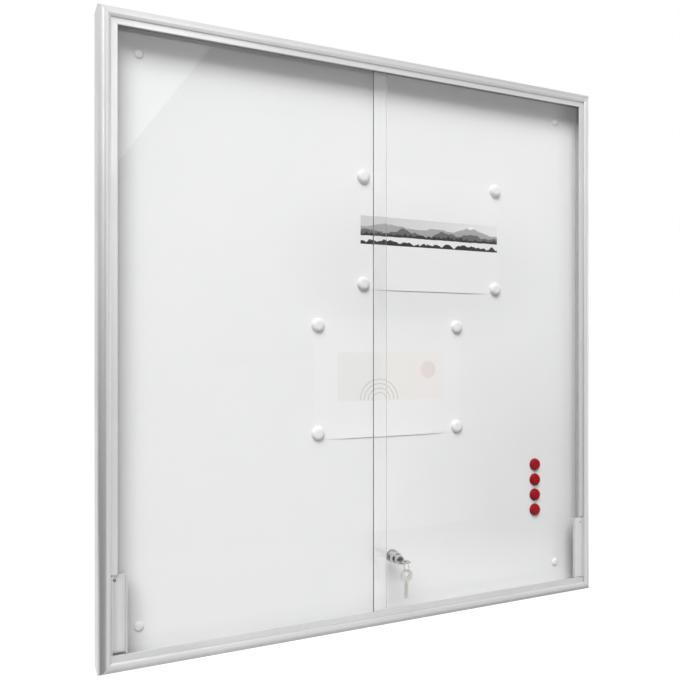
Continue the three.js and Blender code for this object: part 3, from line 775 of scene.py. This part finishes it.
def filleted(profile, radius, steps, closed):
    # Rounds the corners of a profile of (across, depth) points
    count = len(profile)
    shortest, straight, share = 1e-9, radians(165), 0.45
    result = []
    for i, point in enumerate(profile):
        here = Vector(point)
        before = Vector(profile[i - 1]) - here
        after = Vector(profile[(i + 1) % count]) - here
        plain = not closed and i in (0, count - 1)
        plain = plain or min(before.length, after.length) < shortest
        if plain or before.angle(after) > straight:
            result.append(here)
            continue
        reach = min(radius, before.length * share, after.length * share)
        start = here + before.normalized() * reach
        end = here + after.normalized() * reach
        result += [arcPoint(start, here, end, k / steps) for k in range(steps + 1)]
    return result


def finishedMesh(name, verts, faces):
    mesh = bpy.data.meshes.new(name)
    mesh.from_pydata(verts, [], faces)
    tidyMesh(mesh)
    return mesh


def tidyMesh(mesh):
    work = bmesh.new()
    work.from_mesh(mesh)
    bmesh.ops.remove_doubles(work, verts=work.verts, dist=1e-7)
    bmesh.ops.recalc_face_normals(work, faces=work.faces)
    work.to_mesh(mesh)
    work.free()


def circle(steps):
    return [(cos(2 * pi * k / steps), sin(2 * pi * k / steps)) for k in range(steps)]


def turnedMesh(name, profile, middle, steps):
    # Turns a profile of (radius, depth) about an axis that points to the viewer
    verts, faces, rings = [], [], []
    for radius, depth in profile:
        ring = []
        reach = radius * mm
        for across, up in circle(steps if radius > 1e-4 else 1):
            ring.append(len(verts))
            verts.append((middle.x + reach * across, -depth * mm, middle.z + reach * up))
        rings.append(ring)
    loops = list(zip(rings, rings[1:]))
    if len(rings[0]) > 1:
        loops.append((rings[-1], rings[0]))
    for a, b in loops:
        for k in range(steps):
            n = (k + 1) % steps
            quad = (a[k % len(a)], a[n % len(a)], b[n % len(b)], b[k % len(b)])
            face = tuple(dict.fromkeys(quad))
            if len(face) > 2:
                faces.append(face)
    return finishedMesh(name, verts, faces)


def bandFaces(a, b, steps):
    # The faces between two rings whose vertices start at a and b
    return [(a + k, a + (k + 1) % steps, b + (k + 1) % steps, b + k) for k in range(steps)]


def middleOf(node):
    low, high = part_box(node)
    return (low + high) / 2


def footOf(node):
    # The depth of the face that a piece stands on
    return -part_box(node)[1].y / mm


# Magnets
magnetLook = {
    "radius": 12.0, "height": 8.0,
    "rim": 1.6,  # height of the upright edge at the foot
    "shoulder": 5.4,
    "taper": 1.5,  # how far the side leans in up to the shoulder
    "crown": 3.4,  # how far the crown's edge stands in from the side
    "top": 5.4,  # radius where the crown turns flat
    "dimple": 0.35, "dimpleRim": 2.6, "dimpleFloor": 1.6, "round": 1.5,
}


def magnetProfile(look, foot):
    radius, shoulder, top = look["radius"], look["shoulder"], foot + look["height"]
    outer = [
        (radius - look["taper"], foot),
        (radius, foot),
        (radius, foot + look["rim"]),
        (radius - look["taper"], foot + shoulder),
        (radius - look["crown"], foot + (shoulder + 2 * look["height"]) / 3),
        (look["top"], top),
    ]
    crown = [tuple(point) for point in filleted(outer, look["round"], 5, closed=False)]
    floor = top - look["dimple"]
    dimple = [(look["dimpleRim"], top - look["dimple"] * 0.3), (look["dimpleFloor"], floor)]
    return [(0, foot), *crown, *dimple, (0, floor)]


def addMagnet(node, material):
    profile = magnetProfile(magnetLook, footOf(node))
    mesh = turnedMesh(node + "_cap", profile, middleOf(node), 56)
    addPiece(node + "_cap", mesh, material, "case", node, 50)


for sheet in ("upper", "lower"):
    for corner in corners:
        addMagnet(f"magnet_{sheet}_{corner}", whitePlastic)
for number in range(1, 5):
    addMagnet(f"magnet_red_{number}", redPlastic)
print("magnets made")


# Caps over the fixings
capLook = {
    "radius": 7.5, "height": 3.4, "skirt": 0.9,
    "flat": 0.3,  # share of the radius that stays flat on top
    "hollow": 6.3, "wall": 1.3, "edge": 0.3,
}


def addCap(node, look):
    foot, radius, edge = footOf(node), look["radius"], look["edge"]
    wall, domeHigh, steps = foot + look["wall"], look["height"] - look["skirt"], 8
    profile = [(0, wall), (look["hollow"], wall), (look["hollow"], foot)]
    profile += [(radius - edge, foot), (radius, foot + edge)]
    for k in range(steps + 1):
        angle = pi / 2 * k / steps
        across = radius * look["flat"] + radius * (1 - look["flat"]) * cos(angle)
        profile.append((across, foot + look["skirt"] + domeHigh * sin(angle)))
    profile.append((0, foot + look["height"]))
    mesh = turnedMesh(node + "_dome", profile, middleOf(node), 48)
    addPiece(node + "_dome", mesh, whitePlastic, "case", node, 50)


for corner in corners:
    addCap(f"fixing_cap_{corner}", capLook)
print("caps made")


# Lock, as profiles of radius and depth
lockLook = {
    "lock_sleeve": [
        (4.8, 35.3), (9.0, 35.3), (9.0, 42.3), (11.5, 42.3), (11.5, 45.1), (9.8, 45.1),
        (9.8, 48.2), (9.5, 48.5), (9.8, 48.8), (9.8, 58.0), (7.72, 58.0), (7.72, 38.0),
        (4.8, 38.0),
    ],
    "lock_gasket": [(9.1, 41.7), (11.5, 41.7), (11.5, 42.3), (9.1, 42.3)],
    "lock_washer": [(9.1, 37.2), (11.0, 37.2), (11.0, 37.7), (9.1, 37.7)],
    "lock_barrel": [
        (0, 43.2), (4.5, 43.2), (4.5, 50.5), (7.6, 50.5), (7.6, 61.6), (7.35, 61.8), (7.6, 62.0),
        (7.6, 69.0), (5.9, 69.0), (5.6, 68.75), (5.12, 68.75), (5.12, 52.48), (0, 52.48),
    ],
    "edge": 0.45, "sealEdge": 0.15,
}
nutShape = {
    "rings": [(9.1, 35.7), (10.8, 35.7), (11.0, 35.9), (11.0, 37.0), (10.8, 37.2), (9.1, 37.2)],
    "steps": 144, "notches": 6, "notchDeep": 1.0, "knurlDeep": 0.12,
}
plugShape = {
    "radius": 5.0, "front": 68.6, "back": 52.6, "edge": 0.35, "slotWide": 3.7, "slotHigh": 1.2,
    "slotDeep": 14.2,
}


def addTurnedPiece(node, label, material, body, slot, edge):
    profile = lockLook[node]
    closed = profile[0][0] > 0
    mesh = turnedMesh(label, filleted(profile, edge, 4, closed), middleOf(node), 64)
    addPiece(label, mesh, material, body, node, 40)


def addNut(node, look):
    # A knurled ring nut with spanner notches round its rim
    middle = middleOf(node)
    rings, steps = look["rings"], look["steps"]
    spacing = steps // look["notches"]
    widest = max(radius for radius, depth in rings)
    verts, faces = [], []
    for radius, depth in rings:
        for k, (across, up) in enumerate(circle(steps)):
            fromNotch = min(k % spacing, spacing - k % spacing)
            if radius > rings[0][0] and fromNotch <= 2:
                reach = radius - look["notchDeep"]
            else:
                reach = radius - look["knurlDeep"] * (k % 2 if radius == widest else 0)
            x, z = middle.x + reach * across * mm, middle.z + reach * up * mm
            verts.append((x, -depth * mm, z))
    for ring in range(len(rings)):
        faces += bandFaces(ring * steps, (ring + 1) % len(rings) * steps, steps)
    mesh = finishedMesh("lock_nut_knurled", verts, faces)
    addPiece("lock_nut_knurled", mesh, nickelSteel, "right_door", node, 30)


def cutMesh(mesh, *cutters):
    # Cuts the given meshes out of a mesh, and returns the result as a new mesh
    body = addObject("work", mesh)
    tools = [addObject("tool", cutter) for cutter in cutters]
    for tool in tools:
        modify(body, "cut", "BOOLEAN", operation="DIFFERENCE", solver="EXACT", object=tool)
    return appliedMesh(body, *tools)


def appliedMesh(holder, *helpers):
    # The final mesh of a working object, which goes with its helpers
    bpy.context.view_layer.update()
    final = holder.evaluated_get(bpy.context.evaluated_depsgraph_get())
    mesh = bpy.data.meshes.new_from_object(final)
    for worker in (*helpers, holder):
        bpy.data.objects.remove(worker)
    return mesh


def blockMesh(low, high):
    work = bmesh.new()
    bmesh.ops.create_cube(work, size=1)
    for vert in work.verts:
        vert.co = Vector((low[i] + (vert.co[i] + 0.5) * (high[i] - low[i]) for i in range(3)))
    mesh = bpy.data.meshes.new("block")
    work.to_mesh(mesh)
    work.free()
    return mesh


def addPlug(node, look):
    middle = middleOf(node)
    radius, front, back = look["radius"], look["front"], look["back"]
    profile = [(0, back), (radius, back), (radius, front), (0, front)]
    outline = filleted(profile, look["edge"], 4, closed=False)
    core = turnedMesh("plugCore", outline, middle, 64)
    wide, high = look["slotWide"] * mm, look["slotHigh"] * mm
    deep = (front - look["slotDeep"]) * mm
    keyway = blockMesh(
        (middle.x - wide, -(front + 2) * mm, middle.z - high),
        (middle.x + wide, -deep, middle.z + high),
    )
    mesh = cutMesh(core, keyway)
    addPiece("lock_plug_core", mesh, darkNickel, "plug", node, 35)


edge, sealEdge = lockLook["edge"], lockLook["sealEdge"]
for node, label, *rest in (
    ("lock_sleeve", "lock_sleeve_body", chromedBrass, "right_door", "chromed_brass", edge),
    ("lock_gasket", "lock_gasket_ring", blackRubber, "right_door", "black_rubber", sealEdge),
    ("lock_washer", "lock_washer_ring", blackRubber, "right_door", "black_rubber", sealEdge),
    ("lock_barrel", "lock_barrel_body", chromedBrass, "plunger", "chromed_brass", edge),
):
    addTurnedPiece(node, label, *rest)
addNut("lock_nut", nutShape)
addPlug("lock_plug", plugShape)
print("lock made")


# Wire pieces: the spring in the lock and the split ring for the keys
def tubeMesh(name, points, radius, sides):
    # Sweeps a round wire along points, and closes its ends
    verts, faces = [], []
    side = (points[1] - points[0]).normalized().orthogonal().normalized()
    for i, point in enumerate(points):
        before = points[max(i - 1, 0)]
        after = points[min(i + 1, len(points) - 1)]
        axis = (after - before).normalized()
        side = (side - axis * side.dot(axis)).normalized()
        cross = axis.cross(side)
        for across, up in circle(sides):
            verts.append(point + (side * across + cross * up) * radius)
    last = (len(points) - 1) * sides
    for a in range(0, last, sides):
        faces += bandFaces(a, a + sides, sides)
    faces.append(tuple(reversed(range(sides))))
    faces.append(tuple(range(last, last + sides)))
    return finishedMesh(name, [tuple(v) for v in verts], faces)


springShape = {
    "radius": 6.3, "wire": 0.4, "low": 38.8, "high": 49.7, "turns": 5.5,
    "endTurns": 0.8,  # turns at each end that lie flat
    "steps": 36, "keep": 0.31,
}
ringShape = {
    "radius": 8.25, "wire": 0.38, "turns": 2.0,
    "start": 200,  # degrees
    "crossing": (0.86, 1.14),  # turns between which the wire changes sides
    "steps": 96,
}


def addSpring(node, look):
    # The end turns lie flat, and the turns between them are open
    middle = middleOf(node)
    turns, ends = look["turns"], look["endTurns"]
    count = int(turns * look["steps"])
    low, high, radius = look["low"] * mm, look["high"] * mm, look["radius"] * mm
    points = []
    for i in range(count + 1):
        t = i / count
        angle = 2 * pi * turns * t
        rise = min(max((t * turns - ends) / (turns - 2 * ends), 0), 1)
        across, up = radius * cos(angle), radius * sin(angle)
        points.append(Vector((middle.x + across, -(low + (high - low) * rise), middle.z + up)))
    mesh = tubeMesh("lock_spring_coil", points, look["wire"] * mm, 12)
    piece = addPiece(
        "lock_spring_coil", mesh, springSteel, "right_door", node, 60)
    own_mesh(piece)


def addRing(node, look):
    # Two turns of wire side by side, whose ends change sides where they lie on each other
    middle = middleOf(node)
    count = int(look["turns"] * look["steps"])
    radius, wire = look["radius"], look["wire"]
    begin, end = look["crossing"]
    points = []
    for i in range(count + 1):
        turn = look["turns"] * i / count
        angle = 2 * pi * turn + radians(look["start"])
        shift = min(max((turn - begin) / (end - begin), 0), 1)
        shift = shift * shift * (3 - 2 * shift)
        across = wire * (2 * shift - 1) * 0.96
        place = Vector((across, radius * cos(angle), radius * sin(angle)))
        points.append(middle + place * mm)
    mesh = tubeMesh("key_ring_wire", points, wire * mm, 14)
    addPiece("key_ring_wire", mesh, nickelSteel, "ring", node, 60)


addSpring("lock_spring", springShape)
addRing("key_ring", ringShape)
print("wire pieces made")


# Keys
keyLook = {
    "thickness": 2.0, "bowWidth": 22.0, "bowLength": 19.0, "bowRim": 2.6, "holeWidth": 9.0,
    "holeLength": 10.4, "neckWidth": 9.0, "neckLength": 3.5, "neckCorner": 0.4, "bladeWidth": 7.0,
    "tip": 3.0, "edge": 0.22, "grooveDeep": 0.55,
    "grooves": [(-1.9, -0.7), (0.5, 1.7)],  # front and back, across the blade
    "cuts": [(0.12, 0.2), (0.3, 0.38), (0.46, 0.24), (0.62, 0.42), (0.78, 0.3)],  # place, depth
    "cutRun": 0.055, "cutFlat": 0.3,
}


def keyOutline(look, length):
    # The origin is the middle of the rim that the ring passes round, and the blade runs down
    rim, tipHigh, nip = look["bowRim"] / 2, look["tip"], look["neckCorner"]
    base = rim - look["bowLength"]
    top = base - look["neckLength"]
    tip = top - length
    half, neck, bow = look["bladeWidth"] / 2, look["neckWidth"] / 2, look["bowWidth"] / 2
    middle = base + look["bowLength"] / 2
    points = [
        (-neck, base), (-neck, top + nip), (-neck + nip, top), (-half, top),
        (-half, tip + tipHigh), (-half + tipHigh * 0.8, tip), (half - tipHigh, tip),
        (half, tip + tipHigh * 0.7),
    ]
    run = look["cutRun"] * length
    flat = run * look["cutFlat"]
    for share, deep in reversed(look["cuts"]):
        place = top - share * (length - tipHigh)
        floor = half - deep * half
        points += [(half, place - run), (floor, place - flat), (floor, place + flat)]
        points.append((half, place + run))
    points += [(half, top), (neck - nip, top), (neck, top + nip), (neck, base)]
    turns = [
        (neck, base), (bow, base), (bow, middle), (bow, rim), (0, rim), (-bow, rim),
        (-bow, middle), (-bow, base), (-neck, base),
    ]
    points, turns = [[Vector(point) for point in row] for row in (points, turns)]
    for i in (0, 2, 4, 6):
        points += [arcPoint(*turns[i:i + 3], k / 10) for k in range(1, 11)]
    return points[:-1]


def keyMesh(look, length):
    # A flat key in X and Z with rounded edges and a groove down each side of the blade
    edge = look["edge"]
    curve = setAll(
        bpy.data.curves.new("keyShape", "CURVE"), dimensions="2D", fill_mode="BOTH",
        extrude=look["thickness"] / 2 - edge, bevel_depth=edge, bevel_resolution=2, offset=-edge)
    wide, high = look["holeWidth"] / 2, look["holeLength"] / 2
    centre = -look["bowRim"] / 2 - high
    hole = [Vector((wide * across, centre + high * up)) for across, up in circle(40)]
    for loop in (keyOutline(look, length), hole):
        spline = curve.splines.new("POLY")
        spline.points.add(len(loop) - 1)
        for point, place in zip(spline.points, loop):
            point.co = (place.x, place.y, 0, 1)
        spline.use_cyclic_u = True
    mesh = appliedMesh(addObject("keyShape", curve))
    tidyMesh(mesh)
    base = look["bowRim"] / 2 - look["bowLength"]
    low, high = base - look["neckLength"] - length - 1, base + 1.2
    thick, deep = look["thickness"] / 2, look["grooveDeep"]
    (frontLeft, frontRight), (backLeft, backRight) = look["grooves"]
    return cutMesh(
        mesh,
        blockMesh((frontLeft, low, thick - deep), (frontRight, high, thick + 1)),
        blockMesh((backLeft, low, -thick - 1), (backRight, high, deep - thick)),
    )


def addKey(node, label, body, length, lying):
    # A lying key points at the wall, and the other one hangs
    middle = middleOf(node)
    low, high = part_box(node)
    rim = keyLook["bowRim"] / 2 * mm
    mesh = keyMesh(keyLook, length)
    for vert in mesh.vertices:
        across, along, thick = vert.co * mm
        if lying:
            pivot = Vector((middle.x, low.y + rim, middle.z))
            vert.co = pivot + Vector((across, -along, thick))
        else:
            pivot = Vector((middle.x, middle.y, high.z - rim))
            vert.co = pivot + Vector((across, -thick, along))
    tidyMesh(mesh)
    addPiece(label, mesh, nickelSteel, body, node, 40)


addKey("key_in_lock", "key_in_lock_cut", "plug", 14.0, True)
addKey("spare_key", "spare_key_cut", "spare", 27.0, False)
print("keys made")


# Notices
def makeHill():
    # One ridge of a landscape: Mask is 1 below its skyline
    given, result = startGroup(
        "hillLine", ["Mask"], Across=0, Up=0, Level=0, Rise=0.01, Peaks=20, Seed=0)
    along = times(given["Across"], given["Peaks"])
    place = addNode("ShaderNodeCombineXYZ", X=along, Y=given["Seed"]).outputs[0]
    ridge = calc("SUBTRACT", noiseTone(place, 1, 4), 0.5)
    line = calc("ADD", given["Level"], times(ridge, given["Rise"]))
    plug(result["Mask"], calc("LESS_THAN", given["Up"], line))


def makePanel():
    # A printed rectangle
    given, result = startGroup(
        "printedPanel", ["Mask"], Across=0, Up=0, Left=0, Right=0, Bottom=0, Top=0)
    inside = []
    for place, low, high in (("Across", "Left", "Right"), ("Up", "Bottom", "Top")):
        above = calc("GREATER_THAN", given[place], given[low])
        inside.append(times(above, calc("LESS_THAN", given[place], given[high])))
    plug(result["Mask"], times(*inside))


def makeRing():
    # A printed ring or disc: Band is its width
    given, result = startGroup(
        "printedRing", ["Mask"],
        Across=0, Up=0, CentreAcross=0, CentreUp=0, Radius=0.01, Band=0.001)
    aside = calc("SUBTRACT", given["Across"], given["CentreAcross"])
    above = calc("SUBTRACT", given["Up"], given["CentreUp"])
    squares = calc("ADD", times(aside, aside), times(above, above))
    off = calc("SUBTRACT", calc("SQRT", squares), given["Radius"])
    band = times(given["Band"], 0.5)
    plug(result["Mask"], calc("LESS_THAN", calc("ABSOLUTE", off), band))


makeHill()
makePanel()
makeRing()


def panelMask(across, up, box):
    sides = dict(zip(("Left", "Right", "Bottom", "Top"), box))
    return useGroup("printedPanel", Across=across, Up=up, **sides)["Mask"]


def ringMask(across, up, centre, radius, band):
    sockets = {"CentreAcross": centre[0], "CentreUp": centre[1], "Radius": radius, "Band": band}
    return useGroup("printedRing", Across=across, Up=up, **sockets)["Mask"]


def discMask(across, up, disc):
    return ringMask(across, up, disc["centre"], disc["radius"] / 2, disc["radius"])


paperLook = {
    "light": (0.875, 0.875, 0.87), "dark": (0.855, 0.855, 0.85), "stain": 0.86, "stainShare": 0.3,
    "fibreSize": 1100, "clouds": (9, 0.3, 0.75), "rough": (0.55, 0.66), "relief": 0.15,
    "deep": 0.0002,
}


def paperFinish(name, centre, printer, look):
    # Printer gets the place on the sheet, the bare paper's colour and its fibres
    material, shader = startFinish(name, Metallic=0.0)
    fibres = useGroup("fineSpeckle", Size=look["fibreSize"], Contrast=0.18)
    bare = tonesOf(look, fibres["Tone"], cloudMask(look))
    place = axesOf(objectPlace())
    across = calc("SUBTRACT", place["X"], centre.x)
    up = calc("SUBTRACT", place["Z"], centre.z)
    colour = printer(across, up, bare, fibres["Tone"])
    rough = remap(fibres["Tone"], 0, 1, *look["rough"])
    dress(shader, look, colour, rough, fibres["Height"])
    return material


upperPrint = {
    "strip": (-0.1475, 0.1478, -0.024, 0.0265), "sky": 0.62, "haze": 0.80,
    "sun": {"centre": (0.088, 0.012), "radius": 0.010, "ink": 0.88},
    # Level, rise, peaks, seed and ink
    "ridges": [
        (0.011, 0.036, 17, 3.1, 0.38),
        (0.003, 0.042, 24, 8.4, 0.12),
        (-0.003, 0.020, 150, 5.2, 0.012),
        (-0.0085, 0.003, 60, 11.3, 0.84),
        (-0.0175, 0.022, 70, 14.7, 0.008),
    ],
    "worn": 0.8, "wornShare": 0.02,
}


def printLandscape(across, up, bare, fibre):
    look = upperPrint
    strip = panelMask(across, up, look["strip"])
    left, right = look["strip"][:2]
    picture = mixColour(remap(across, left, right), look["sky"], look["haze"])
    sun = discMask(across, up, look["sun"])
    picture = mixColour(sun, picture, look["sun"]["ink"])
    for *line, ink in look["ridges"]:
        line = dict(zip(("Level", "Rise", "Peaks", "Seed"), line))
        hill = useGroup("hillLine", Across=across, Up=up, **line)["Mask"]
        picture = mixColour(hill, picture, ink)
    picture = mixColour(times(fibre, look["wornShare"]), picture, look["worn"])
    return mixColour(strip, bare, picture)


lowerPrint = {
    "panels": [
        ((-0.104, -0.022, -0.040, 0.046), (0.825, 0.82, 0.805)),
        ((-0.022, 0.048, -0.040, 0.046), (0.86, 0.835, 0.80)),
        ((0.048, 0.112, -0.040, 0.046), (0.87, 0.83, 0.82)),
    ],
    "arcs": [0.014, 0.022, 0.030, 0.038], "arcCentre": (-0.022, -0.040), "arcBand": 0.0017,
    "line": 0.58,
    "disc": {"centre": (0.080, 0.014), "radius": 0.016, "ink": (0.80, 0.72, 0.70)},
    "wornShare": 0.08,
}


def printShapes(across, up, bare, fibre):
    look = lowerPrint
    picture, whole = bare, None
    for box, ink in look["panels"]:
        mask = panelMask(across, up, box)
        picture = mixColour(mask, picture, ink)
        whole = mask if whole is None else calc("MAXIMUM", whole, mask)
    for radius in look["arcs"]:
        arc = ringMask(across, up, look["arcCentre"], radius, look["arcBand"])
        picture = mixColour(times(arc, whole), picture, look["line"])
    disc = discMask(across, up, look["disc"])
    picture = mixColour(disc, picture, look["disc"]["ink"])
    return mixColour(times(fibre, look["wornShare"]), picture, bare)


sheetShape = {
    "wide": 297.0, "high": 210.0, "thick": 0.14,
    "foot": 12.04,  # depth of the face that the sheet lies on
    "lift": 0.6, "waves": (90, 70),
    "held": 13.0,  # radius round a magnet's middle that stays flat
    "grip": 34.0,
    "bottom": 0.3,  # share of the height below the middle where the lower edge starts to lift
    "cells": (66, 48),
}


def sheetMesh(name, centre, magnets, curl, look):
    # Paper held flat at its magnets, with a slight bow between them and a lifted lower edge
    columns, rows = look["cells"]
    wide, high = look["waves"]
    verts, faces = [], []
    for j in range(rows + 1):
        for i in range(columns + 1):
            across = look["wide"] * (i / columns - 0.5)
            up = look["high"] * (j / rows - 0.5)
            near = min(hypot(across - x, up - z) for x, z in magnets)
            free = 1 - exp(-(max(near - look["held"], 0) / look["grip"]) ** 2)
            wave = 0.5 + 0.5 * noise.noise(Vector((across / wide, up / high, centre[0])))
            low = max(0, -up / look["high"] - look["bottom"]) / (0.5 - look["bottom"])
            depth = look["foot"] + look["lift"] * free * wave + curl * free * low * low
            verts.append(((centre[0] + across) * mm, -depth * mm, (centre[1] + up) * mm))
    for j in range(rows):
        for i in range(columns):
            a = j * (columns + 1) + i
            faces.append((a, a + 1, a + columns + 2, a + columns + 1))
    mesh = bpy.data.meshes.new(name)
    mesh.from_pydata(verts, [], faces)
    mesh.polygons.foreach_set("use_smooth", [True] * len(mesh.polygons))
    return mesh


def addSheet(label, printer, curl):
    node = "notice_" + label
    middle = middleOf(node)
    centre = (middle.x / mm, middle.z / mm)
    magnets = []
    for corner in corners:
        place = middleOf(f"magnet_{label}_{corner}")
        magnets.append((place.x / mm - centre[0], place.z / mm - centre[1]))
    mesh = sheetMesh(node + "_paper", centre, magnets, curl, sheetShape)
    material = paperFinish(f"{label}Notice", middle, printer, paperLook)
    piece = addPiece(node + "_paper", mesh, material, "case", node)
    modify(piece, "thickness", "SOLIDIFY", thickness=sheetShape["thick"] * mm, offset=1)
    modify(piece, "evenShading", "WEIGHTED_NORMAL", weight=100)


addSheet("upper", printLandscape, curl=0.8)
addSheet("lower", printShapes, curl=1.2)
print("notices made")
